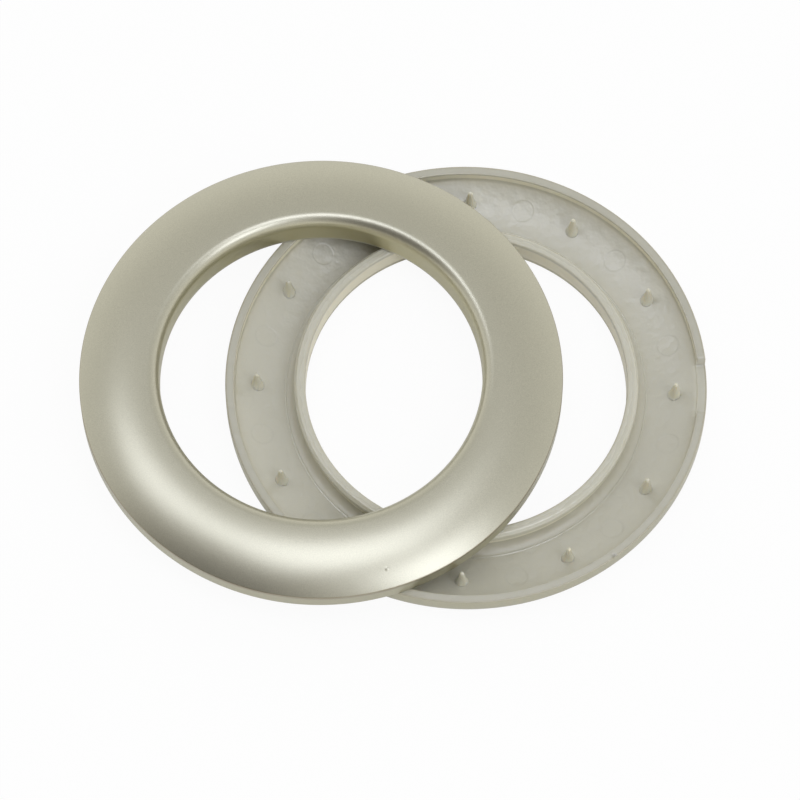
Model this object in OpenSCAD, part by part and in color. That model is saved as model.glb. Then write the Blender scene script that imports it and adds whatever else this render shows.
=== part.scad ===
// Snap-together curtain grommet, shown taken apart.
// The front half lies face up on the open side of the back half.

/* [Rings] */
// Outer diameter of both halves
ring_od = 100; // [96:0.5:106]
// Diameter of the clear hole through both halves
bore_d = 66.8; // [62:0.2:68]
// Wall thickness of the domed faces
face_wall = 1.8; // [1.5:0.1:2.2]
// Wall thickness of the outer rims
rim_wall = 1.85; // [1.5:0.05:2.3]
// Break on the lower edges of the rims and of the front barrel
edge_break = 0.25; // [0.1:0.05:0.4]

/* [Front half] */
// Height of the front half, from its rim to the crest of its face
front_h = 7.5; // [6.8:0.1:8.5]
// Height of the upright edge around the front half
front_edge_h = 3.7; // [3:0.1:4.2]
// Radius of the rolled lip between the front face and the bore
front_lip_r = 2.6; // [2.2:0.1:3]
// Wall thickness of the front barrel
barrel_wall = 1.4; // [1.2:0.1:1.6]
// Radius in the corner between the front barrel and the face
front_fillet_r = 1.2; // [0.8:0.1:1.6]

/* [Back half] */
// Height of the back half, from its rim to the crest of its face
back_h = 7.8; // [7.2:0.1:8.8]
// Height of the upright edge around the back half
back_edge_h = 3.5; // [3.2:0.1:4]
// Radius of the rolled lip between the back face and the bore
back_lip_r = 2.2; // [1.8:0.1:2.6]
// Wall thickness of the back collar, measured at its bead
collar_wall = 2.35; // [2:0.05:2.8]
// Drop of the collar's top below the rim
collar_drop = 0.4; // [0.2:0.1:0.8]
// Radius in the corner between the back collar and the floor
back_fillet_r = 2; // [1.2:0.1:2.2]
// Bevel on the outer edge of the collar, where the fingers ride over it
collar_bevel = 0.6; // [0.4:0.1:0.8]
// Round on the inner edge of the collar
collar_round = 0.45; // [0.2:0.05:0.6]

/* [Snap fit] */
// Height of the bead at the top of the collar
bead_h = 1.9; // [1.5:0.1:2.2]
// Depth of the undercut below the bead
undercut = 0.35; // [0.25:0.05:0.5]
// Number of snap fingers under the front face
finger_count = 6; // [4:1:8]
// Angle that each finger spans
finger_arc = 11; // [8:1:13]
// Thickness of a finger
finger_wall = 1.4; // [1.1:0.1:1.6]
// Gap between the fingers and the bead
finger_clearance = 0.15; // [0.1:0.05:0.3]
// Height of the hook on a finger
hook_h = 0.9; // [0.7:0.1:1.1]
// Thickness of the cloth that the closed halves clamp
cloth = 0.8; // [0.4:0.1:1]

/* [Cloth spikes] */
// Number of spikes on the floor of the back half
spike_count = 12; // [8:1:16]
// Place of the spikes across the floor, from the collar at 0 to the rim at 1
spike_place = 0.625; // [0.5:0.005:0.7]
// Diameter of a spike at its foot
spike_d = 2.5; // [2:0.1:3]
// Diameter of a spike's rounded tip
spike_tip_d = 0.9; // [0.7:0.1:1.2]
// Height of a spike above the floor
spike_h = 5; // [4.5:0.1:5.4]

/* [Rim notch and moulding marks] */
// Angle of the prising notch in the back rim
notch_arc = 14; // [10:1:18]
// Height of the sill that the notch leaves above the floor's outer edge
notch_sill = 0.2; // [0.1:0.05:0.4]
// Diameter of the ejector marks on the floor
ejector_d = 4.5; // [3.5:0.1:5]
// Depth of the ejector marks
ejector_depth = 0.12; // [0.08:0.02:0.2]

/* [As laid down] */
// Distance between the two bore axes, from side to side
lay_apart = 30.05; // [28.5:0.05:31.5]
// Distance between the two bore axes, from front to back
lay_stagger = 0.55; // [0:0.05:1.5]
// Turn of the back half about its axis
back_turn = -1.5; // [-4:0.5:4]
// Turn of the front half about its axis
front_turn = 14.5; // [13.5:0.5:15.5]

/* [Hidden] */
$fn = 120;

ring_r = ring_od / 2;
bore_r = bore_d / 2;
rim_inner_r = ring_r - rim_wall;
barrel_r = bore_r + barrel_wall;
collar_r = bore_r + collar_wall;
neck_r = collar_r - undercut;
bead_end = collar_drop + bead_h;
finger_r = collar_r + finger_clearance;
spike_r = collar_r + spike_place * (rim_inner_r - collar_r);
hook_z = -(cloth + bead_end + undercut);
past = 1;
embed = 0.6;
foot_clear = 0.15;

// A half is drawn with its rim on z = 0 and its domed face up.
// The face is an arc that leaves the top of the lip level and falls to the edge.
function crest_r(lip_r) = bore_r + lip_r;
function face_drop(h, edge_h) = h - edge_h;
function face_r(h, edge_h, lip_r) =
    (pow(ring_r - crest_r(lip_r), 2) + pow(face_drop(h, edge_h), 2)) / (2 * face_drop(h, edge_h));
// Height of the floor under the face at the radius r
function floor_z(r, h, edge_h, lip_r) =
    h - face_r(h, edge_h, lip_r)
    + sqrt(pow(face_r(h, edge_h, lip_r) - face_wall, 2) - pow(r - crest_r(lip_r), 2));

// Section of a solid half: barrel, rolled lip, domed face and upright edge
module outer_section(h, edge_h, lip_r) {
    c = crest_r(lip_r);
    translate([bore_r, 0])
        square([lip_r, h - lip_r]);
    intersection() {
        translate([c, h - lip_r])
            circle(r = lip_r);
        translate([bore_r, h - lip_r])
            square([lip_r, lip_r]);
    }
    intersection() {
        translate([c, h - face_r(h, edge_h, lip_r)])
            circle(r = face_r(h, edge_h, lip_r));
        translate([c, 0])
            square([ring_r - c, h]);
    }
}

// Section of the hollow under the face, from the radius inner_r to the rim
module hollow_section(h, edge_h, lip_r, inner_r, fillet_r) {
    arc_z = h - face_r(h, edge_h, lip_r);
    floor_r = face_r(h, edge_h, lip_r) - face_wall;
    c = [inner_r + fillet_r,
         arc_z + sqrt(pow(floor_r - fillet_r, 2) - pow(inner_r + fillet_r - crest_r(lip_r), 2))];
    away = (c - [crest_r(lip_r), arc_z]) / (floor_r - fillet_r);
    difference() {
        intersection() {
            translate([crest_r(lip_r), arc_z])
                circle(r = floor_r);
            translate([inner_r, -past])
                square([rim_inner_r - inner_r, h + past]);
        }
        polygon([c, [inner_r - past, c[1]], [inner_r - past, h + past], c + away * (fillet_r + 2 * past)]);
    }
    translate(c)
        circle(r = fillet_r);
}

// Section of what a quarter-round break takes off a corner; sides point into the solid
module break_section(corner, r, side_x, side_y) {
    translate(corner)
        scale([side_x, side_y])
            difference() {
                translate([-past, -past])
                    square(r + past);
                translate([r, r])
                    circle(r = r);
            }
}

// Section of the back collar's bead, with its bevel above and its slope below
module bead_section() {
    polygon([[neck_r - embed, collar_drop],
             [collar_r - collar_bevel, collar_drop],
             [collar_r, collar_drop + collar_bevel],
             [collar_r, bead_end],
             [neck_r, bead_end + undercut],
             [neck_r - embed, bead_end + undercut]]);
}

module front_body() {
    rotate_extrude()
        difference() {
            outer_section(front_h, front_edge_h, front_lip_r);
            hollow_section(front_h, front_edge_h, front_lip_r, barrel_r, front_fillet_r);
            break_section([ring_r, 0], edge_break, -1, 1);
            break_section([bore_r, 0], edge_break, 1, 1);
        }
}

// Section of a snap finger: a blade that hooks in under the bead of the collar
module finger_section() {
    root_z = floor_z(finger_r + finger_wall, front_h, front_edge_h, front_lip_r) + embed;
    nose_r = neck_r + finger_clearance;
    polygon([[finger_r, root_z],
             [finger_r, hook_z + undercut],
             [nose_r, hook_z],
             [nose_r, hook_z - hook_h / 2],
             [finger_r, hook_z - hook_h],
             [finger_r + finger_wall, hook_z - hook_h],
             [finger_r + finger_wall, root_z]]);
}

module snap_fingers() {
    for (i = [0 : finger_count - 1])
        rotate([0, 0, i * 360 / finger_count - finger_arc / 2])
            rotate_extrude(angle = finger_arc)
                finger_section();
}

// The turned body's closing line lies a quarter of the way from one spike to the next
module back_body() {
    rotate([0, 0, 90 / spike_count])
        rotate_extrude()
            difference() {
                union() {
                    difference() {
                        outer_section(back_h, back_edge_h, back_lip_r);
                        hollow_section(back_h, back_edge_h, back_lip_r, neck_r, back_fillet_r);
                    }
                    bead_section();
                }
                translate([bore_r - past, -past])
                    square([collar_r - bore_r + 2 * past, past + collar_drop]);
                break_section([bore_r, collar_drop], collar_round, 1, 1);
                break_section([ring_r, 0], edge_break, -1, 1);
            }
}

// The cut through the rim, down to a low sill at the outer edge of the floor
module rim_notch() {
    depth = floor_z(rim_inner_r, back_h, back_edge_h, back_lip_r) - notch_sill;
    rotate([0, 0, -notch_arc / 2])
        rotate_extrude(angle = notch_arc)
            translate([rim_inner_r - embed, -past])
                square([rim_wall + embed + past, depth + past]);
}

// Shallow round marks that follow the floor, midway between the spikes
module ejector_marks() {
    arc_z = back_h - face_r(back_h, back_edge_h, back_lip_r);
    floor_r = face_r(back_h, back_edge_h, back_lip_r) - face_wall;
    intersection() {
        rotate_extrude()
            intersection() {
                translate([crest_r(back_lip_r), arc_z])
                    circle(r = floor_r + ejector_depth);
                translate([spike_r - ejector_d, 0])
                    square([2 * ejector_d, back_h]);
            }
        for (i = [0 : spike_count - 1])
            rotate([0, 0, (i + 0.5) * 360 / spike_count])
                translate([spike_r, 0, 0])
                    cylinder(d = ejector_d, h = back_h);
    }
}

// Section of a spike: a rounded tip, a tapered shank and a straight foot that stands in the floor
module spike_section(tip_z, foot_z, root_z) {
    polygon([[0, root_z], [0, tip_z], [spike_tip_d / 2, tip_z], [spike_d / 2, foot_z], [spike_d / 2, root_z]]);
    intersection() {
        translate([0, tip_z])
            circle(d = spike_tip_d);
        translate([0, tip_z - spike_tip_d])
            square([spike_tip_d, spike_tip_d]);
    }
}

// The floor falls towards the rim, so the foot starts above its shallow side
module spike() {
    rotate_extrude($fn = 32)
        spike_section(
            floor_z(spike_r, back_h, back_edge_h, back_lip_r) - spike_h + spike_tip_d / 2,
            floor_z(spike_r + spike_d / 2, back_h, back_edge_h, back_lip_r) - foot_clear,
            floor_z(spike_r - spike_d / 2, back_h, back_edge_h, back_lip_r) + embed);
}

module cloth_spikes() {
    for (i = [0 : spike_count - 1])
        rotate([0, 0, i * 360 / spike_count])
            translate([spike_r, 0, 0])
                spike();
}

module front_ring() {
    color([0.71, 0.69, 0.6])
        translate([-lay_apart / 2, -lay_stagger / 2, back_h])
            rotate([0, 0, front_turn]) {
                front_body();
                snap_fingers();
            }
}

module back_ring() {
    color([0.76, 0.76, 0.72])
        translate([lay_apart / 2, lay_stagger / 2, back_h])
            rotate([0, 0, back_turn])
                mirror([0, 0, 1]) {
                    difference() {
                        back_body();
                        rim_notch();
                        ejector_marks();
                    }
                    cloth_spikes();
                }
}

front_ring();
back_ring();
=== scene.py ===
"""Snap-together curtain grommet, laid open: the painted front half rests on the bare back half."""

import math

import bpy
import numpy as np
from bpy.props import FloatProperty, FloatVectorProperty, IntProperty, PointerProperty
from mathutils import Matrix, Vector


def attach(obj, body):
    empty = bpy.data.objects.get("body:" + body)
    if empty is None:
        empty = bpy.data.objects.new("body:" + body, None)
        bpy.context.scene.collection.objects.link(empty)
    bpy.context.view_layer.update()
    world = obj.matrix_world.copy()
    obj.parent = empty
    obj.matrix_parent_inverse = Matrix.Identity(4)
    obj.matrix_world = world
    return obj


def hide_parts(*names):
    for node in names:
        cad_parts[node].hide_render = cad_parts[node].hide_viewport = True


bl_info = {
    "name": "Curtain Grommet Halves",
    "version": (1, 0, 0),
    "blender": (4, 5, 0),
    "location": "3D View > Sidebar > Grommet",
    "description": "Builds the two halves of a snap-together curtain grommet, laid one on the other",
    "category": "Add Mesh",
}

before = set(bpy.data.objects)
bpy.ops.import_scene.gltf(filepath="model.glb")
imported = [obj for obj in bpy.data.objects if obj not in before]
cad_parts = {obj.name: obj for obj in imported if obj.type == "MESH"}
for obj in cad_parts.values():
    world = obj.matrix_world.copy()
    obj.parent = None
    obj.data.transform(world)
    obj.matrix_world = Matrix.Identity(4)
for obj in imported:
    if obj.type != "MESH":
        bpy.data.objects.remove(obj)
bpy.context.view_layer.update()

MM = 0.001
BODY = "root"


# Sizes ------------------------------------------------------------------------------------


def millimetres(name, description, default):
    """One length in millimetres, as the part's source states it."""
    return FloatProperty(name=name, description=description, default=default, min=0.0, precision=3)


class GrommetRings(bpy.types.PropertyGroup):
    """Sizes that both halves share, in millimetres."""

    ring_r: millimetres("Ring radius", "Outer radius of both halves", 50.0)
    bore_r: millimetres("Bore radius", "Radius of the clear hole", 33.4)
    face_wall: millimetres("Face wall", "Wall thickness of the domed faces", 1.8)
    rim_wall: millimetres("Rim wall", "Wall thickness of the outer rims", 1.85)
    edge_break: millimetres("Edge break", "Round on the lower edges of the rims", 0.25)
    lay_apart: millimetres("Laid apart", "Distance between the bore axes, side to side", 30.05)
    lay_stagger: millimetres("Laid stagger", "Distance between the bore axes, front to back", 0.55)
    columns: IntProperty(name="Columns", description="Steps around a ring", default=420, min=48)


class GrommetFront(bpy.types.PropertyGroup):
    """Sizes of the front half, in millimetres."""

    height: millimetres("Height", "From the rim to the crest of the face", 7.5)
    edge_h: millimetres("Edge height", "Height of the upright edge", 3.7)
    lip_r: millimetres("Lip radius", "Rolled lip between face and bore", 2.6)
    inner_r: millimetres("Barrel radius", "Outside of the barrel, under the face", 34.8)
    fillet_r: millimetres("Fillet", "Round in the corner of barrel and face", 1.2)
    crease_r: millimetres("Crease", "Round where the face turns into the edge", 0.3)
    turn: FloatProperty(name="Turn", description="Turn about the bore axis, degrees", default=14.5)
    finger_count: IntProperty(name="Fingers", description="Number of snap fingers", default=6, min=1)
    finger_arc: FloatProperty(name="Finger arc", description="Angle of a finger, degrees", default=11.0)
    finger_r: millimetres("Finger radius", "Inside of the fingers", 35.9)
    finger_wall: millimetres("Finger wall", "Thickness of a finger", 1.4)
    finger_nose_r: millimetres("Nose radius", "Inside of the hook's nose", 35.55)
    hook_z: millimetres("Hook depth", "Depth of the hook's upper side below the rim", 3.45)
    hook_h: millimetres("Hook height", "Height of the hook", 0.9)


class GrommetBack(bpy.types.PropertyGroup):
    """Sizes of the back half, in millimetres."""

    height: millimetres("Height", "From the rim to the crest of the face", 7.8)
    edge_h: millimetres("Edge height", "Height of the upright edge", 3.5)
    lip_r: millimetres("Lip radius", "Rolled lip between face and bore", 2.2)
    inner_r: millimetres("Neck radius", "Outside of the collar, below its bead", 35.4)
    fillet_r: millimetres("Fillet", "Round in the corner of collar and floor", 2.0)
    crease_r: millimetres("Crease", "Round where the face turns into the edge", 0.3)
    collar_r: millimetres("Collar radius", "Outside of the collar's bead", 35.75)
    collar_drop: millimetres("Collar drop", "Drop of the collar's top below the rim", 0.4)
    collar_bevel: millimetres("Collar bevel", "Bevel on the collar's outer edge", 0.6)
    collar_round: millimetres("Collar round", "Round on the collar's inner edge", 0.45)
    bead_end: millimetres("Bead end", "Lower end of the bead, below the rim", 2.3)
    turn: FloatProperty(name="Turn", description="Turn about the bore axis, degrees", default=-1.5)
    notch_arc: FloatProperty(name="Notch", description="Angle of the notch, degrees", default=14.0)
    notch_depth: millimetres("Notch depth", "Depth of the notch from the rim", 2.33)
    spike_count: IntProperty(name="Spikes", description="Number of cloth spikes", default=12, min=1)
    spike_r: millimetres("Spike circle", "Radius of the circle of spikes", 43.5)
    spike_d: millimetres("Spike foot", "Diameter of a spike's foot", 2.5)
    spike_tip_d: millimetres("Spike tip", "Diameter of a spike's tip", 0.9)
    spike_h: millimetres("Spike height", "Height above the floor", 5.0)
    mark_d: millimetres("Ejector mark", "Diameter of an ejector mark", 4.5)


class GrommetFinish(bpy.types.PropertyGroup):
    """Colours of the paint, the bare moulding and the stage, and the places of small flaws."""

    paint: FloatVectorProperty(name="Paint", description="Champagne paint", subtype="COLOR",
                               default=(0.53, 0.514, 0.422))
    bare: FloatVectorProperty(name="Moulding", description="Bare moulding", subtype="COLOR",
                              default=(0.55, 0.535, 0.45))
    # Painted shade: a darker olive laid in the bore, down the lip and on the upright edge, where shade falls.
    paint_shade: FloatVectorProperty(name="Deep paint", description="Paint in the bore and under the lip",
                              subtype="COLOR", default=(0.49, 0.455, 0.27))
    # Painted shade: a dark colour laid along the crease of face and edge, where a thin line of shade falls.
    crease_shade: FloatVectorProperty(name="Crease shade", description="Dirt along the crease of face and edge",
                               subtype="COLOR", default=(0.30, 0.25, 0.17))
    # Overspray and painted shade: real overspray on the rims' edges and the back half's bore, and painted shade in
    # the corners of wall, floor, fillet and collar.
    overspray_shade_colour: FloatVectorProperty(name="Overspray and shade", description="Thin paint over the bare moulding",
                                   subtype="COLOR", default=(0.47, 0.435, 0.32))
    speck: FloatVectorProperty(name="Speck", description="Place of a speck of dust under the paint",
                               subtype="XYZ", unit="LENGTH", default=(-0.00133, -0.0445, 0.01331))
    nick: FloatVectorProperty(name="Nick", description="Place of a nick in the back half's rim",
                              subtype="XYZ", unit="LENGTH", default=(0.04487, -0.03934, 0.0078))
    backdrop: FloatVectorProperty(name="Backdrop", description="Floor and backdrop", subtype="COLOR",
                                  default=(0.9, 0.9, 0.9))


class GrommetStage(bpy.types.PropertyGroup):
    """Camera and lamps."""

    aim: FloatVectorProperty(name="Aim", description="Point the camera looks at", subtype="XYZ",
                             unit="LENGTH", default=(0.001282, -0.000669, 0.0))
    elevation: FloatProperty(name="Elevation", description="Camera height, degrees", default=65.07)
    distance: FloatProperty(name="Distance", description="Camera distance", unit="LENGTH", default=1.0)
    lens: FloatProperty(name="Lens", description="Focal length in millimetres", default=215.5)
    glow: FloatProperty(name="Glow", description="Brightness of the softboxes' faces", default=2.2)
    fill: FloatProperty(name="Fill", description="Strength of the room's light", default=0.80)


# Profiles -----------------------------------------------------------------------------------


def arc(centre, radius, start, end, steps):
    """Circle arc: centre plus radius times (cos t, sin t), with t from start to end in degrees."""
    t = np.radians(np.linspace(start, end, steps))
    return np.column_stack([centre[0] + radius * np.cos(t), centre[1] + radius * np.sin(t)])


def straight(start, end, steps):
    """Straight line: start plus s times (end minus start), with s from 0 to 1."""
    s = np.linspace(0.0, 1.0, steps)[:, None]
    return np.asarray(start) * (1.0 - s) + np.asarray(end) * s


def rounded(corner, before, after, radius, steps=6):
    """Arc that rounds a corner: it touches the lines from the corner to before and to after."""
    corner, before, after = (np.asarray(p, float) for p in (corner, before, after))
    u = (before - corner) / np.linalg.norm(before - corner)
    v = (after - corner) / np.linalg.norm(after - corner)
    half = math.acos(float(np.clip(u @ v, -1.0, 1.0))) / 2.0
    centre = corner + (u + v) / np.linalg.norm(u + v) * radius / math.sin(half)
    first = corner + u * radius / math.tan(half) - centre
    last = corner + v * radius / math.tan(half) - centre
    a = math.atan2(first[1], first[0])
    sweep = (math.atan2(last[1], last[0]) - a + math.pi) % (2.0 * math.pi) - math.pi
    t = a + np.linspace(0.0, 1.0, steps) * sweep
    return np.column_stack([centre[0] + radius * np.cos(t), centre[1] + radius * np.sin(t)])


def face_radius(rings, half):
    """Radius of the face's arc: (run squared plus drop squared) over twice the drop."""
    run = rings.ring_r - rings.bore_r - half.lip_r
    drop = half.height - half.edge_h
    return (run * run + drop * drop) / (2.0 * drop)


def floor_height(r, rings, half):
    """Height of the floor under the face at the radius r, on the arc one wall inside the face."""
    face = face_radius(rings, half)
    crest = rings.bore_r + half.lip_r
    return half.height - face + np.sqrt((face - rings.face_wall) ** 2 - (r - crest) ** 2)


def outside_profile(rings, half):
    """Rolled lip, domed face, rounded crease and upright edge, from the bore to the rim."""
    crest = rings.bore_r + half.lip_r
    face = face_radius(rings, half)
    low = half.height - face
    # The crease is a small arc that touches the face's arc from inside and the upright edge.
    c = half.crease_r
    cr = rings.ring_r - c
    cz = low + math.sqrt((face - c) ** 2 - (cr - crest) ** 2)
    meet = math.degrees(math.atan2(cz - low, cr - crest))
    b = rings.edge_break
    return [
        ("lip", arc((crest, half.height - half.lip_r), half.lip_r, 180.0, 90.0, 26)),
        ("face", arc((crest, low), face, 90.0, meet, 54)[1:]),
        ("crease", arc((cr, cz), c, meet, 0.0, 9)[1:]),
        ("edge", straight((rings.ring_r, cz), (rings.ring_r, b), 5)[1:]),
        ("break", arc((rings.ring_r - b, b), b, 0.0, -90.0, 6)[1:]),
    ]


def hollow_profile(rings, half, depth, ridge):
    """Rim, wall, floor and corner fillet, from the rim's flat to the collar at the given depth.

    Where the floor ends at the fillet, the mould's insert left a fine ridge of the given height.
    """
    crest = rings.bore_r + half.lip_r
    face = face_radius(rings, half)
    low = half.height - face
    floor_r = face - rings.face_wall
    wall_r = rings.ring_r - rings.rim_wall
    corner = (wall_r, float(floor_height(wall_r, rings, half)))
    f = half.fillet_r
    cr = half.inner_r + f
    cz = low + math.sqrt((floor_r - f) ** 2 - (cr - crest) ** 2)
    meet = math.degrees(math.atan2(cz - low, cr - crest))
    edge = 0.3
    wall_fillet = 1.0
    start = math.degrees(math.atan2(corner[1] - low, corner[0] - crest))
    inner = math.degrees(wall_fillet / floor_r)
    floor = arc((crest, low), floor_r, start + inner, meet, 40)[1:]
    foot = floor[-1]
    return [
        ("rim", straight((rings.ring_r - rings.edge_break, 0.0), (wall_r + edge, 0.0), 11)[1:]),
        ("rim_edge", arc((wall_r + edge, edge), edge, 270.0, 180.0, 5)[1:]),
        ("wall", straight((wall_r, edge), (wall_r, corner[1] - wall_fillet), 6)[1:]),
        ("wall_foot", rounded(corner, (wall_r, 0.0),
                              arc((crest, low), floor_r, start + inner, start + inner, 1)[0], wall_fillet * 0.8)),
        ("floor", floor[:-1]),
        ("ridge", np.array([foot + (0.13, 0.0), foot + (0.04, -ridge), foot + (-0.04, -ridge), foot + (-0.13, 0.0)])),
        ("fillet", arc((cr, cz), f, meet, 180.0, 14)[2:]),
        ("neck", straight((half.inner_r, cz), (half.inner_r, depth), 6)[1:]),
    ]


def join_profile(parts):
    """One closed profile from named stretches, and the name of the stretch of each point."""
    points = np.vstack([p for _, p in parts])
    names = np.concatenate([[n] * len(p) for n, p in parts])
    keep = np.r_[True, np.linalg.norm(np.diff(points, axis=0), axis=1) > 1e-5]
    keep[-1] &= np.linalg.norm(points[-1] - points[0]) > 1e-5
    return points[keep], names[keep]


# Meshes ---------------------------------------------------------------------------------------


def torus_faces(columns, rows):
    """Quads of a grid that closes both ways; point (i, j) has the number i * rows + j."""
    i = np.arange(columns)[:, None]
    j = np.arange(rows)[None, :]
    a = i * rows + j
    b = ((i + 1) % columns) * rows + j
    c = ((i + 1) % columns) * rows + (j + 1) % rows
    d = i * rows + (j + 1) % rows
    return np.stack([a, b, c, d], axis=-1).reshape(-1, 4)


def revolve(profile, angles):
    """Turned surface: (r cos a, r sin a, z) for each angle a and each profile point (r, z)."""
    r, z = (profile[..., k] for k in (0, 1))
    a = angles[:, None]
    return np.stack(np.broadcast_arrays(r * np.cos(a), r * np.sin(a), z), axis=-1)


def place(points, x, y, z, turn, upside_down):
    """Sets local points into the frame: mirrored in z if upside down, turned, then moved; in metres."""
    p = points.copy()
    if upside_down:
        p[..., 2] *= -1.0
    t = math.radians(turn)
    x0, y0 = p[..., 0].copy(), p[..., 1].copy()
    p[..., 0] = x0 * math.cos(t) - y0 * math.sin(t) + x
    p[..., 1] = x0 * math.sin(t) + y0 * math.cos(t) + y
    p[..., 2] += z
    return p * MM


def row_of(faces, rows):
    """Profile row that a quad starts in: the row whose next row the quad reaches."""
    j = faces % rows
    low, high = j.min(axis=1), j.max(axis=1)
    return np.where(high - low == 1, low, high)


def mesh_object(name, points, faces, smooth=True):
    """A mesh object at the origin, from an array of points and an array or list of faces."""
    mesh = bpy.data.meshes.new(name)
    faces = np.asarray(faces)
    mesh.vertices.add(len(points))
    mesh.vertices.foreach_set("co", np.ascontiguousarray(points, dtype=np.float32).ravel())
    mesh.loops.add(faces.size)
    mesh.loops.foreach_set("vertex_index", faces.astype(np.int32).ravel())
    mesh.polygons.add(len(faces))
    mesh.polygons.foreach_set("loop_start", np.arange(0, faces.size, faces.shape[1], dtype=np.int32))
    mesh.polygons.foreach_set("use_smooth", np.full(len(faces), smooth))
    mesh.update(calc_edges=True)
    mesh.validate()
    obj = bpy.data.objects.new(name, mesh)
    bpy.context.scene.collection.objects.link(obj)
    return obj


def set_float(obj, name, values):
    """Stores one number for each vertex, for a material to read."""
    layer = obj.data.attributes.new(name, "FLOAT", "POINT")
    layer.data.foreach_set("value", np.asarray(values, dtype=np.float32))


def paint_shade_amount(profile, names, half):
    """How much painted shade darkens the paint at each profile point: full in the bore, growing down the lip, some on
    the upright edge, none on the face.
    """
    drop = (half.height - profile[:, 1]) / half.lip_r
    paint_shade = np.where(names == "lip", np.clip(drop * 1.5 - 0.4, 0.0, 1.0), 0.0)
    paint_shade[names == "bore"] = 1.0
    paint_shade[np.isin(names, ["edge", "break"])] = 0.4
    return paint_shade


def signed_volume(points, faces):
    """Volume inside a closed mesh; it is negative if the faces point inwards."""
    f = np.asarray(faces)
    total = 0.0
    for k in range(1, f.shape[1] - 1):
        a, b, c = points[f[:, 0]], points[f[:, k]], points[f[:, k + 1]]
        total += float(np.einsum("ij,ij->i", a, np.cross(b, c)).sum())
    return total / 6.0


def outwards(points, faces):
    """The same faces, turned round if they point inwards."""
    f = np.asarray(faces)
    return f if signed_volume(points, f) > 0.0 else f[:, ::-1]


def round_copies(name, local, groups, count, at, smooth):
    """One mesh of a closed shape that is repeated at even steps around the bore axis."""
    x, y, z, turn, upside_down = at
    placed = [place(local, x, y, z, turn + 360.0 * k / count, upside_down) for k in range(count)]
    if sum(signed_volume(placed[0], group) for group in groups) < 0.0:
        groups = [group[:, ::-1] for group in groups]
    faces = []
    for k in range(count):
        for group in groups:
            faces += (group + k * len(local)).tolist()
    mesh = bpy.data.meshes.new(name)
    mesh.from_pydata(np.vstack(placed), [], faces)
    mesh.polygons.foreach_set("use_smooth", np.full(len(faces), smooth))
    mesh.validate()
    mesh.update()
    obj = bpy.data.objects.new(name, mesh)
    bpy.context.scene.collection.objects.link(obj)
    return obj


# Materials ------------------------------------------------------------------------------------


class Nodes:
    """Short hand for a material's node tree."""

    def __init__(self, name):
        self.material = bpy.data.materials.new(name)
        self.material.use_nodes = True
        self.tree = self.material.node_tree
        self.shader = self.tree.nodes["Principled BSDF"]

    def add(self, kind, **settings):
        node = self.tree.nodes.new(kind)
        for key, value in settings.items():
            setattr(node, key, value)
        return node

    def link(self, out, into):
        self.tree.links.new(out, into)

    def object_point(self):
        return self.add("ShaderNodeTexCoord").outputs["Object"]

    def noise(self, vector, scale, detail=3.0, roughness=0.5):
        node = self.add("ShaderNodeTexNoise")
        node.inputs["Scale"].default_value = scale
        node.inputs["Detail"].default_value = detail
        node.inputs["Roughness"].default_value = roughness
        self.link(vector, node.inputs["Vector"])
        return node.outputs["Fac"]

    def spread(self, value, low, high, to_low, to_high):
        node = self.add("ShaderNodeMapRange")
        for key, number in (("From Min", low), ("From Max", high), ("To Min", to_low), ("To Max", to_high)):
            node.inputs[key].default_value = number
        self.link(value, node.inputs["Value"])
        return node.outputs["Result"]

    def math(self, operation, *values):
        node = self.add("ShaderNodeMath", operation=operation)
        for socket, value in zip(node.inputs, values):
            if isinstance(value, (int, float)):
                socket.default_value = value
            else:
                self.link(value, socket)
        return node.outputs["Value"]

    def blend(self, factor, a, b, mode="MIX"):
        node = self.add("ShaderNodeMix", data_type="RGBA", blend_type=mode)
        for socket, value in ((node.inputs[0], factor), (node.inputs[6], a), (node.inputs[7], b)):
            if isinstance(value, (tuple, float)):
                socket.default_value = value
            else:
                self.link(value, socket)
        return node.outputs[2]

    def spot(self, vector, centre, radius):
        """A number that is 1 at a centre and falls to 0 at the radius."""
        node = self.add("ShaderNodeVectorMath", operation="DISTANCE")
        self.link(vector, node.inputs[0])
        node.inputs[1].default_value = centre
        return self.spread(node.outputs["Value"], 0.0, radius, 1.0, 0.0)

    def attribute(self, name):
        return self.add("ShaderNodeAttribute", attribute_name=name).outputs["Fac"]

    def bump(self, height, strength, distance, normal=None):
        node = self.add("ShaderNodeBump")
        node.inputs["Strength"].default_value = strength
        node.inputs["Distance"].default_value = distance
        self.link(height, node.inputs["Height"])
        if normal is not None:
            self.link(normal, node.inputs["Normal"])
        return node.outputs["Normal"]


def rgba(colour, gain=1.0):
    """A colour with its alpha, made lighter or darker by a gain."""
    return (*(min(1.0, c * gain) for c in colour), 1.0)


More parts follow.
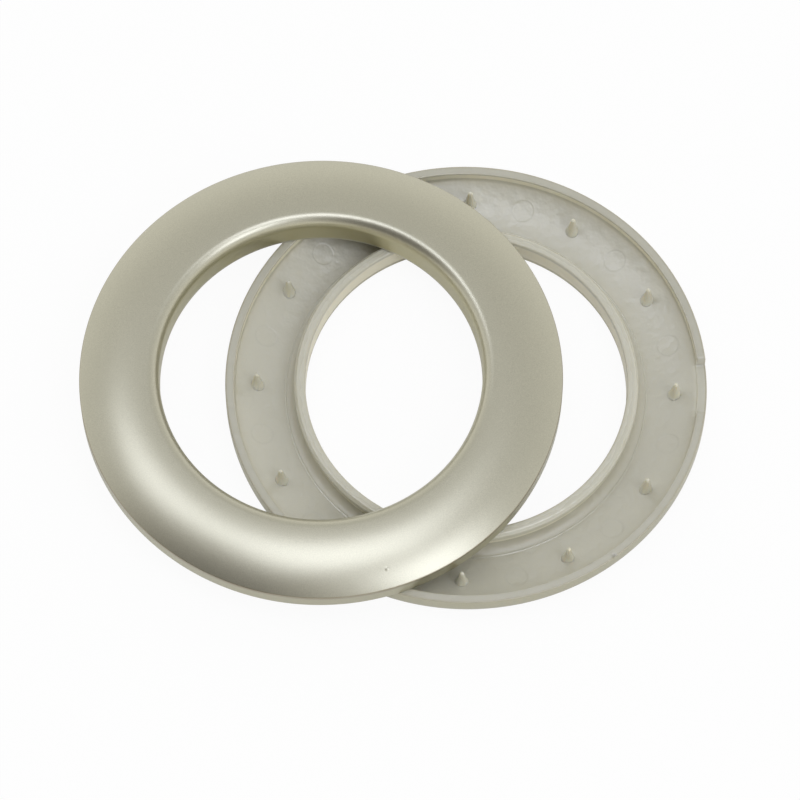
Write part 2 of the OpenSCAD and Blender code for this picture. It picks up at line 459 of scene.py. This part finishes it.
def champagne_paint(finish):
    """Satin metallic paint: fine flakes, soft mottle, a light orange peel, a speck of dust, and painted shade in the
    bore, under the lip, on the edge and along the crease.
    """
    n = Nodes("champagne_paint")
    at = n.object_point()
    flakes = n.noise(at, 4200.0, 2.0, 0.7)
    mottle = n.noise(at, 90.0, 3.0)
    colour = n.blend(n.spread(flakes, 0.3, 0.7, 0.0, 1.0), rgba(finish.paint, 0.90), rgba(finish.paint, 1.10))
    # Painted shade in the bore, under the lip and on the upright edge.
    colour = n.blend(n.attribute("paint_shade"), colour, rgba(finish.paint_shade))
    # Painted shade: the paint is darkened along the crease.
    colour = n.blend(n.attribute("crease_shade"), colour, rgba(finish.crease_shade))
    colour = n.blend(n.spread(mottle, 0.35, 0.65, 0.0, 0.35), colour, rgba(finish.paint, 0.97))
    speck = n.spot(at, finish.speck, 0.5 * MM)
    n.link(n.blend(n.math("MULTIPLY", speck, 0.5), colour, rgba(finish.paint, 0.6)), n.shader.inputs["Base Color"])
    n.link(n.spread(flakes, 0.3, 0.7, 0.29, 0.34), n.shader.inputs["Roughness"])
    n.shader.inputs["Metallic"].default_value = 0.85
    peel = n.noise(at, 650.0, 2.0)
    n.link(n.bump(speck, 0.6, 0.12 * MM, n.bump(peel, 0.08, 0.06 * MM)), n.shader.inputs["Normal"])
    return n.material


def bare_moulding(name, finish, depth, milk, marks=None):
    """Off-white moulding with a glossy, slightly wavy skin, that light enters to a depth in mm.

    The attributes of the mesh say where overspray and painted corner shade lie, and how much painted light
    and shade lightens shaded places and darkens lit ones. Marks is a function that adds what the moulding
    tool left: it takes the nodes, the place and the normal, and gives a painted-shade factor and a new normal.
    """
    n = Nodes(name)
    at = n.object_point()
    cloud = n.noise(at, 70.0, 2.0)
    fine = n.noise(at, 1400.0, 3.0, 0.6)
    base = n.blend(n.spread(cloud, 0.2, 0.8, 0.0, 1.0), rgba(finish.bare, 0.97), rgba(finish.bare, 1.03))
    # Overspray and painted corner shade, mixed into the moulding's colour.
    overspray_and_shade = n.math("MULTIPLY", n.attribute("overspray_and_shade"), n.spread(fine, 0.2, 0.8, 0.85, 1.1))
    base = n.blend(overspray_and_shade, base, rgba(finish.overspray_shade_colour))
    skin = n.bump(n.noise(at, 420.0, 2.0), 1.0, 0.2 * MM)
    # Painted light and shade: this attribute lightens shaded places and darkens lit ones.
    light_and_shade = n.attribute("light_and_shade")
    if marks:
        shade, skin = marks(n, at, skin)
        light_and_shade = n.math("MULTIPLY", light_and_shade, shade)
    grey = n.add("ShaderNodeCombineXYZ")
    for socket in grey.inputs:
        n.link(light_and_shade, socket)
    n.link(n.blend(1.0, base, grey.outputs["Vector"], "MULTIPLY"), n.shader.inputs["Base Color"])
    rough = n.spread(n.noise(at, 260.0, 2.0), 0.25, 0.75, 0.28, 0.4)
    n.link(n.math("SUBTRACT", rough, n.math("MULTIPLY", n.attribute("gloss"), 0.14)), n.shader.inputs["Roughness"])
    n.shader.inputs["IOR"].default_value = 1.6
    n.shader.inputs["Specular IOR Level"].default_value = 0.95
    n.shader.inputs["Subsurface Weight"].default_value = milk
    n.shader.inputs["Subsurface Radius"].default_value = (1.0, 0.9, 0.7)
    n.shader.inputs["Subsurface Scale"].default_value = depth * MM
    n.link(skin, n.shader.inputs["Normal"])
    return n.material


def tool_marks(rings, half, finish):
    """Ejector marks on the floor, midway between the spikes, and a nick in the rim.

    A mark is a shallow round recess. The distance from its centre comes from the point's radius
    and its angle round the bore axis, wrapped to one step of the marks.
    """
    step = 2.0 * math.pi / half.spike_count
    centre = (rings.lay_apart / 2 * MM, rings.lay_stagger / 2 * MM, 0.0)

    def marks(n, at, normal):
        from_axis = n.add("ShaderNodeVectorMath", operation="SUBTRACT")
        n.link(at, from_axis.inputs[0])
        from_axis.inputs[1].default_value = centre
        xyz = n.add("ShaderNodeSeparateXYZ")
        n.link(from_axis.outputs["Vector"], xyz.inputs["Vector"])
        x, y = xyz.outputs["X"], xyz.outputs["Y"]
        radius = n.math("SQRT", n.math("ADD", n.math("MULTIPLY", x, x), n.math("MULTIPLY", y, y)))
        angle = n.math("SUBTRACT", n.math("ARCTAN2", y, x), math.radians(half.turn) + step / 2.0)
        along = n.math("MULTIPLY", n.math("WRAP", angle, step / 2.0, -step / 2.0), half.spike_r * MM)
        across = n.math("SUBTRACT", radius, half.spike_r * MM)
        away = n.math("SQRT", n.math("ADD", n.math("MULTIPLY", along, along), n.math("MULTIPLY", across, across)))
        edge = half.mark_d / 2 * MM
        raised = n.spread(away, edge - 0.2 * MM, edge + 0.1 * MM, 0.0, 1.0)
        # Painted shade: a thin darker line round each mark's edge, and darker moulding in the nick.
        line = n.spread(n.math("ABSOLUTE", n.math("SUBTRACT", away, edge)), 0.0, 0.35 * MM, 0.96, 1.0)
        nick = n.spot(at, finish.nick, 0.7 * MM)
        shade = n.math("MULTIPLY", line, n.math("SUBTRACT", 1.0, n.math("MULTIPLY", nick, 0.35)))
        normal = n.bump(raised, 0.35, 0.12 * MM, normal)
        return shade, n.bump(n.math("SUBTRACT", 1.0, nick), 1.0, 0.25 * MM, normal)

    return marks


# Pieces -----------------------------------------------------------------------------------------


def settle(obj, slot, *materials):
    """Gives a piece its materials and its body; the slot is not used."""
    for material in materials:
        obj.data.materials.append(material)
    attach(obj, BODY)


class GROMMET_OT_front_half(bpy.types.Operator):
    """Builds the painted front half with its snap fingers"""

    bl_idname = "grommet.front_half"
    bl_label = "Front half"

    def execute(self, context):
        scene = context.scene
        rings, half, finish = scene.grommet_rings, scene.grommet_front, scene.grommet_finish
        b = rings.edge_break
        profile, names = join_profile(
            outside_profile(rings, half)
            + hollow_profile(rings, half, b, 0.0)
            + [
                ("foot_out", arc((half.inner_r - b, b), b, 0.0, -90.0, 5)[1:]),
                ("foot", straight((half.inner_r - b, 0.0), (rings.bore_r + b, 0.0), 3)[1:]),
                ("foot_in", arc((rings.bore_r + b, b), b, 270.0, 180.0, 5)[1:]),
                ("bore", straight((rings.bore_r, b), (rings.bore_r, half.height - half.lip_r), 8)[1:]),
            ]
        )
        angles = np.linspace(0.0, 2.0 * math.pi, rings.columns, endpoint=False)
        local = revolve(profile, angles)
        at = (-rings.lay_apart / 2, -rings.lay_stagger / 2, scene.grommet_back.height, half.turn, False)
        points = place(local, *at).reshape(-1, 3)
        faces = outwards(points, torus_faces(len(angles), len(profile)))
        shell = mesh_object("front_shell", points, faces)
        painted = np.isin(names, ["lip", "face", "crease", "edge", "break", "foot_in", "bore"])
        overspray_and_shade = np.where(painted, 1.0, 0.0)
        overspray_and_shade[np.isin(names, ["foot", "rim"])] = 0.45
        set_float(shell, "overspray_and_shade", np.tile(overspray_and_shade, len(angles)))
        set_float(shell, "light_and_shade", np.ones(len(points)))
        # Painted shade in the bore, under the lip and on the edge.
        set_float(shell, "paint_shade", np.tile(paint_shade_amount(profile, names, half), len(angles)))
        # Painted shade along the crease of face and edge.
        set_float(shell, "crease_shade", np.tile(0.8 * (names == "crease"), len(angles)))
        bare_face = ~painted[row_of(faces, len(profile))]
        shell.data.polygons.foreach_set("material_index", bare_face.astype(np.int32))
        paint, bare = champagne_paint(finish), bare_moulding("bare_moulding", finish, 0.7, 0.35)
        settle(shell, "satin_champagne", paint, bare)

        fingers = self.fingers(scene, at)
        set_float(fingers, "overspray_and_shade", np.zeros(len(fingers.data.vertices)))
        set_float(fingers, "light_and_shade", np.ones(len(fingers.data.vertices)))
        settle(fingers, "satin_champagne", bare)
        bevel = fingers.modifiers.new("Bevel", "BEVEL")
        bevel.width = 0.12 * MM
        bevel.segments = 2
        bevel.limit_method = "ANGLE"
        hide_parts("front_ring")
        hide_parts("front_ring")
        return {"FINISHED"}

    @staticmethod
    def fingers(scene, at):
        """Finger section swept through its arc, closed with end caps, once for each finger."""
        rings, half = scene.grommet_rings, scene.grommet_front
        outer = half.finger_r + half.finger_wall
        root = float(floor_height(outer, rings, half)) + 0.6
        undercut = half.finger_r - half.finger_nose_r
        section = np.array([
            [half.finger_r, root],
            [half.finger_r, -half.hook_z + undercut],
            [half.finger_nose_r, -half.hook_z],
            [half.finger_nose_r, -half.hook_z - half.hook_h / 2],
            [half.finger_r, -half.hook_z - half.hook_h],
            [outer, -half.hook_z - half.hook_h],
            [outer, root],
        ])
        steps, rows = 9, len(section)
        sweep = np.radians(np.linspace(-half.finger_arc / 2, half.finger_arc / 2, steps))
        local = revolve(section, sweep).reshape(-1, 3)
        i = np.arange(steps - 1)[:, None] * rows
        j = np.arange(rows)[None, :]
        nxt = (j + 1) % rows
        side = np.stack([i + j, i + rows + j, i + rows + nxt, i + nxt], axis=-1).reshape(-1, 4)
        cap = np.arange(rows)[None, :]
        caps = np.vstack([cap, cap[:, ::-1] + (steps - 1) * rows])
        return round_copies("snap_fingers", local, [side, caps], half.finger_count, at, False)


class GROMMET_OT_back_half(bpy.types.Operator):
    """Builds the bare back half with its collar, notch, spikes and ejector marks"""

    bl_idname = "grommet.back_half"
    bl_label = "Back half"

    # How much overspray and painted corner shade lie on each stretch of the profile, and the painted light and shade
    # that lightens some stretches and darkens others.
    OVERSPRAY_AND_CORNER_SHADE = {"break": 0.8, "round": 0.25, "rim_edge": 0.3, "wall": 0.4, "wall_foot": 0.35,
                 "fillet": 0.3, "neck": 0.3, "slope": 0.4, "bead": 0.4, "bore": 0.7}
    # Painted light and shade: shaded stretches such as wall, neck, slope and bore are lightened, and the rim's edges
    # are darkened.
    LIGHT_AND_SHADE = {"break": 0.85, "rim_edge": 0.92, "wall": 1.6, "wall_foot": 1.05, "fillet": 1.0, "neck": 1.5,
             "slope": 1.4, "bead": 1.2, "bevel": 1.05, "shoulder": 1.05, "top": 1.05, "round": 1.05, "bore": 1.75}

    def execute(self, context):
        scene = context.scene
        rings, half, finish = scene.grommet_rings, scene.grommet_back, scene.grommet_finish
        undercut = half.collar_r - half.inner_r
        top, bevel, inner = half.collar_drop, half.collar_bevel, half.collar_round
        soft = 0.12
        corners = [
            (half.inner_r, half.height),
            (half.inner_r, half.bead_end + undercut),
            (half.collar_r, half.bead_end),
            (half.collar_r, top + bevel),
            (half.collar_r - bevel, top),
            (rings.bore_r, top),
        ]
        profile, names = join_profile(
            outside_profile(rings, half)
            + hollow_profile(rings, half, half.bead_end + undercut + soft, 0.045)
            + [
                ("slope", rounded(corners[1], corners[0], corners[2], soft)),
                ("bead", rounded(corners[2], corners[1], corners[3], soft)),
                ("bevel", rounded(corners[3], corners[2], corners[4], soft)),
                ("shoulder", rounded(corners[4], corners[3], corners[5], 0.45)),
                ("top", straight(corners[4], corners[5], 4)[2:3]),
                ("round", arc((rings.bore_r + inner, top + inner), inner, 270.0, 180.0, 8)[1:]),
                ("bore", straight((rings.bore_r, top + inner), (rings.bore_r, half.height - half.lip_r), 8)[1:]),
            ]
        )
        angles, low = self.notched_angles(rings.columns, half.notch_arc)
        grid = np.broadcast_to(profile, (len(angles), *profile.shape)).copy()
        in_rim = np.isin(names, ["edge", "break", "rim", "rim_edge", "wall", "wall_foot"])
        cut = low[:, None] & in_rim[None, :]
        grid[..., 1] = np.where(cut, np.maximum(grid[..., 1], half.notch_depth), grid[..., 1])
        local = revolve(grid, angles)
        at = (rings.lay_apart / 2, rings.lay_stagger / 2, half.height, half.turn, True)
        points = place(local, *at).reshape(-1, 3)
        faces = outwards(points, torus_faces(len(angles), len(profile)))
        shell = mesh_object("back_shell", points, faces)
        painted = np.isin(names, ["lip", "face", "crease", "edge"])
        overspray_and_shade = np.where(painted, 1.0, 0.0)
        for name, amount in self.OVERSPRAY_AND_CORNER_SHADE.items():
            overspray_and_shade[names == name] = amount
        # Painted corner shade in the overspray colour darkens the floor next to the wall and the fillet, and fades
        # out within a few tenths of a millimetre of these two edges.
        r = profile[:, 0]
        near = np.exp((r - rings.ring_r + rings.rim_wall) / 0.7) + np.exp((half.inner_r + half.fillet_r - r) / 0.7)
        overspray_and_shade = np.where(names == "floor", 0.35 * np.minimum(near, 1.0), overspray_and_shade)
        light_and_shade = np.ones(len(profile))
        for name, amount in self.LIGHT_AND_SHADE.items():
            light_and_shade[names == name] = amount
        # Painted light and shade: the rim's flat is painted lightest in its middle and darker towards its edges,
        # where it also takes a little overspray colour.
        across = np.abs(2.0 * (r - rings.ring_r + rings.rim_wall) / rings.rim_wall - 1.0)
        rim = names == "rim"
        overspray_and_shade = np.where(rim, 0.45 * across ** 3, overspray_and_shade)
        light_and_shade = np.where(rim, 0.89 - 0.09 * across ** 2, light_and_shade)
        gloss = np.isin(names, ["ridge", "shoulder"]) - 0.8 * (names == "fillet")
        set_float(shell, "gloss", np.tile(gloss, len(angles)))
        # The notch's sill is bare, like the floor that it continues; the rim rows at its two ends take the
        # overspray-and-shade colour.
        bare_sill = low[:, None] & np.isin(names, ["rim", "rim_edge", "wall", "wall_foot", "floor"])
        ends = (low & ~(np.roll(low, 1) & np.roll(low, -1)))[:, None] & (names == "rim")
        set_float(shell, "overspray_and_shade", np.where(ends, 0.6, np.where(bare_sill, 0.0, overspray_and_shade)).ravel())
        # Painted light and shade on the sill: its wall foot is painted lighter and its rim darker, so that it evens
        # out with the floor.
        sill_light_and_shade = np.where(names == "wall_foot", 1.12, np.where(names == "floor", 1.0, 0.95))
        set_float(shell, "light_and_shade", np.where(bare_sill, sill_light_and_shade, light_and_shade).ravel())
        # Painted shade on the painted edge.
        set_float(shell, "paint_shade", np.tile(paint_shade_amount(profile, names, half), len(angles)))
        bare_face = ~painted[row_of(faces, len(profile))]
        shell.data.polygons.foreach_set("material_index", bare_face.astype(np.int32))
        paint = bpy.data.materials["champagne_paint"]
        bare = bare_moulding("marked_moulding", finish, 0.7, 0.35, tool_marks(rings, half, finish))
        settle(shell, "bare_moulding", paint, bare)
        spikes = self.spikes(rings, half, at)
        settle(spikes, "bare_moulding", bare_moulding("spike_moulding", finish, 1.8, 0.85))
        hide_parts("back_ring")
        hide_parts("back_ring")
        return {"FINISHED"}

    @staticmethod
    def notched_angles(columns, notch_arc):
        """Even steps around the ring, with a close pair of steps at each side of the notch."""
        half = math.radians(notch_arc / 2)
        gap = math.radians(0.05)
        inside = np.linspace(-half, half, 24)
        outside = np.linspace(half + gap, 2.0 * math.pi - half - gap, columns - 24)
        angles = np.concatenate([inside, outside])
        low = np.concatenate([np.ones(24, bool), np.zeros(columns - 24, bool)])
        return angles, low

    @staticmethod
    def spikes(rings, half, at):
        """Turned spikes: a flared foot, a tapered shank and a round tip, once for each place."""
        tip_r = half.spike_tip_d / 2
        foot_r = half.spike_d / 2
        floor = float(floor_height(half.spike_r, rings, half))
        tip_z = floor - half.spike_h
        t = np.radians(np.linspace(90.0, 12.0, 7))
        tip = np.column_stack([tip_r * np.cos(t), tip_z + tip_r - tip_r * np.sin(t)])
        s = np.linspace(0.0, 1.0, 12)[1:]
        shank = np.column_stack([tip[-1, 0] + (foot_r - tip[-1, 0]) * s,
                                 tip[-1, 1] + (floor + 0.1 - tip[-1, 1]) * s])
        flare = 0.15 * np.exp((shank[:, 1] - floor) / 0.3)
        shank[:, 0] += flare
        root = np.array([[shank[-1, 0], floor + 0.8]])
        section = np.vstack([tip[1:], shank, root])
        around = np.linspace(0.0, 2.0 * math.pi, 24, endpoint=False)
        side = revolve(section, around).reshape(-1, 3)
        poles = np.array([[0.0, 0.0, tip_z], [0.0, 0.0, floor + 0.8]])
        local = np.vstack([side, poles])
        rows, count = len(section), len(around)
        i = np.arange(count)[:, None]
        j = np.arange(rows - 1)[None, :]
        a, b = i * rows + j, ((i + 1) % count) * rows + j
        quads = np.stack([a, b, b + 1, a + 1], axis=-1).reshape(-1, 4)
        k = np.arange(count)
        nxt = (k + 1) % count
        tip_fan = np.stack([np.full(count, rows * count), nxt * rows, k * rows], axis=-1)
        root_fan = np.stack([np.full(count, rows * count + 1), k * rows + rows - 1, nxt * rows + rows - 1], axis=-1)
        local[:, 0] += half.spike_r
        obj = round_copies("cloth_spikes", local, [quads, tip_fan, root_fan], half.spike_count, at, True)
        set_float(obj, "overspray_and_shade", np.zeros(len(obj.data.vertices)))
        # Painted light: each spike is painted lighter towards its foot, against the shade that falls there.
        up = np.clip((floor - local[:, 2]) / half.spike_h, 0.0, 1.0)
        set_float(obj, "light_and_shade", np.tile(1.04 + 0.3 * (1.0 - up) ** 2, half.spike_count))
        set_float(obj, "gloss", np.full(len(obj.data.vertices), -1.5))
        return obj


# Stage --------------------------------------------------------------------------------------------


class GROMMET_OT_stage(bpy.types.Operator):
    """Sets the pale floor, the soft light and the camera"""

    bl_idname = "grommet.stage"
    bl_label = "Stage"

    def execute(self, context):
        scene = context.scene
        stage, finish = scene.grommet_stage, scene.grommet_finish
        floor = self.sweep(stage)
        floor.data.materials.append(self.white_sweep(finish))
        self.world(scene, stage)
        for name, east, north, width, depth, gain in (
            ("overhead_softbox", 0.02, -0.07, 0.52, 0.38, 1.0),
            ("left_softbox", -0.42, 0.12, 0.32, 0.36, 0.85),
            ("right_softbox", 0.43, -0.43, 0.40, 0.42, 1.2),
        ):
            self.softbox(name, east, north, width, depth, gain * stage.glow)
        self.camera(scene, stage)
        scene.view_settings.view_transform = "Standard"
        return {"FINISHED"}

    @staticmethod
    def sweep(stage):
        """Floor grid: flat, z = 0, three metres wide."""
        u = np.linspace(-1.5, 1.5, 21)
        x, y = np.meshgrid(u, u, indexing="ij")
        points = np.stack([x, y, np.zeros_like(x)], axis=-1).reshape(-1, 3)
        n = len(u)
        i, j = np.meshgrid(np.arange(n - 1), np.arange(n - 1), indexing="ij")
        a = (i * n + j).ravel()
        return mesh_object("floor", points, np.stack([a, a + n, a + n + 1, a + 1], axis=-1))

    @staticmethod
    def white_sweep(finish):
        """Matt white to light and shadow; what the camera sees of it is lifted towards white."""
        n = Nodes("white_sweep")
        n.shader.inputs["Base Color"].default_value = rgba(finish.backdrop)
        n.shader.inputs["Roughness"].default_value = 0.9
        n.shader.inputs["Specular IOR Level"].default_value = 0.0
        path = n.add("ShaderNodeLightPath")
        glow = n.add("ShaderNodeEmission")
        glow.inputs["Strength"].default_value = 1.0
        mix = n.add("ShaderNodeMixShader")
        mirrored = n.math("MAXIMUM", path.outputs["Is Glossy Ray"], path.outputs["Is Transmission Ray"])
        seen = n.math("MULTIPLY", path.outputs["Is Camera Ray"], 0.94)
        n.link(n.math("MAXIMUM", seen, n.math("MULTIPLY", mirrored, 0.2)), mix.inputs["Fac"])
        n.link(n.shader.outputs["BSDF"], mix.inputs[1])
        n.link(glow.outputs["Emission"], mix.inputs[2])
        n.link(mix.outputs["Shader"], n.tree.nodes["Material Output"].inputs["Surface"])
        return n.material

    @staticmethod
    def world(scene, stage):
        """Even room light, white where the camera looks past the floor."""
        world = bpy.data.worlds.new("studio")
        scene.world = world
        world.use_nodes = True
        tree = world.node_tree
        back = tree.nodes["Background"]
        way = tree.nodes.new("ShaderNodeTexCoord").outputs["Generated"]
        overhead = GROMMET_OT_stage.facing(tree, way, (0.0, 0.0, 1.0), 0.0, 1.0, 1.3, 0.75)
        shade = GROMMET_OT_stage.facing(tree, way, (-0.50, -0.62, 0.60), 0.74, 0.97, 1.0, 0.12)
        path = tree.nodes.new("ShaderNodeLightPath")
        room = tree.nodes.new("ShaderNodeMath")
        room.operation = "MULTIPLY"
        tree.links.new(overhead, room.inputs[0])
        tree.links.new(shade, room.inputs[1])
        room_fill = tree.nodes.new("ShaderNodeMath")
        room_fill.operation = "MULTIPLY"
        room_fill.inputs[1].default_value = stage.fill
        tree.links.new(room.outputs["Value"], room_fill.inputs[0])
        strength = tree.nodes.new("ShaderNodeMapRange")
        strength.inputs["To Max"].default_value = 1.0
        tree.links.new(path.outputs["Is Camera Ray"], strength.inputs["Value"])
        tree.links.new(room_fill.outputs["Value"], strength.inputs["To Min"])
        tree.links.new(strength.outputs["Result"], back.inputs["Strength"])
        tint = tree.nodes.new("ShaderNodeMix")
        tint.data_type = "RGBA"
        warm = tree.nodes.new("ShaderNodeMix")
        warm.data_type = "RGBA"
        warm.inputs[6].default_value = (1.08, 0.97, 0.80, 1.0)
        warm.inputs[7].default_value = (1.01, 1.0, 0.94, 1.0)
        tree.links.new(shade, warm.inputs[0])
        tree.links.new(warm.outputs[2], tint.inputs[6])
        tint.inputs[7].default_value = (1.0, 1.0, 1.0, 1.0)
        tree.links.new(path.outputs["Is Camera Ray"], tint.inputs[0])
        tree.links.new(tint.outputs[2], back.inputs["Color"])

    @staticmethod
    def facing(tree, way, axis, low, high, to_low, to_high):
        """A number that follows how nearly a direction faces an axis, from to_low to to_high."""
        dot = tree.nodes.new("ShaderNodeVectorMath")
        dot.operation = "DOT_PRODUCT"
        tree.links.new(way, dot.inputs[0])
        dot.inputs[1].default_value = axis
        spread = tree.nodes.new("ShaderNodeMapRange")
        spread.interpolation_type = "SMOOTHSTEP"
        for key, number in (("From Min", low), ("From Max", high), ("To Min", to_low), ("To Max", to_high)):
            spread.inputs[key].default_value = number
        tree.links.new(dot.outputs["Value"], spread.inputs["Value"])
        return spread.outputs["Result"]

    @staticmethod
    def softbox(name, east, north, width, depth, glow):
        """Lamp 1.2 m away, in the direction (east, north), whose face is as bright as glow."""
        away = 1.2
        lamp = bpy.data.lights.new(name, "AREA")
        lamp.shape = "RECTANGLE"
        lamp.size = width * away
        lamp.size_y = depth * away
        lamp.energy = glow * math.pi * lamp.size * lamp.size_y
        lamp.color = (0.93, 0.972, 1.11)
        obj = bpy.data.objects.new(name, lamp)
        obj.location = Vector((east, north, math.sqrt(1.0 - east * east - north * north))) * away
        obj.rotation_euler = (-obj.location).to_track_quat("-Z", "Y").to_euler()
        bpy.context.scene.collection.objects.link(obj)

    @staticmethod
    def camera(scene, stage):
        """Camera on the axis through the aim, at its elevation, looking straight at the aim."""
        lens = bpy.data.cameras.new("photo_camera")
        lens.lens = stage.lens
        lens.sensor_width = 36.0
        lens.clip_start = 0.05
        lens.clip_end = 10.0
        obj = bpy.data.objects.new("photo_camera", lens)
        e = math.radians(stage.elevation)
        aim = Vector(stage.aim)
        obj.location = aim + Vector((0.0, -math.cos(e), math.sin(e))) * stage.distance
        obj.rotation_euler = (aim - obj.location).to_track_quat("-Z", "Y").to_euler()
        scene.collection.objects.link(obj)
        scene.camera = obj


class GROMMET_PT_sidebar(bpy.types.Panel):
    """Lists the pieces of the grommet"""

    bl_idname = "GROMMET_PT_sidebar"
    bl_label = "Curtain grommet"
    bl_space_type = "VIEW_3D"
    bl_region_type = "UI"
    bl_category = "Grommet"

    def draw(self, context):
        for operator in (GROMMET_OT_front_half, GROMMET_OT_back_half, GROMMET_OT_stage):
            self.layout.operator(operator.bl_idname)


SETTINGS = {
    "grommet_rings": GrommetRings,
    "grommet_front": GrommetFront,
    "grommet_back": GrommetBack,
    "grommet_finish": GrommetFinish,
    "grommet_stage": GrommetStage,
}
CLASSES = (
    *SETTINGS.values(),
    GROMMET_OT_front_half,
    GROMMET_OT_back_half,
    GROMMET_OT_stage,
    GROMMET_PT_sidebar,
)


def register():
    for cls in CLASSES:
        bpy.utils.register_class(cls)
    for name, group in SETTINGS.items():
        setattr(bpy.types.Scene, name, PointerProperty(type=group))


def unregister():
    for name in SETTINGS:
        delattr(bpy.types.Scene, name)
    for cls in reversed(CLASSES):
        bpy.utils.unregister_class(cls)


def main():
    register()
    bpy.ops.grommet.front_half()
    bpy.ops.grommet.back_half()
    bpy.ops.grommet.stage()


if __name__ == "__main__":
    main()
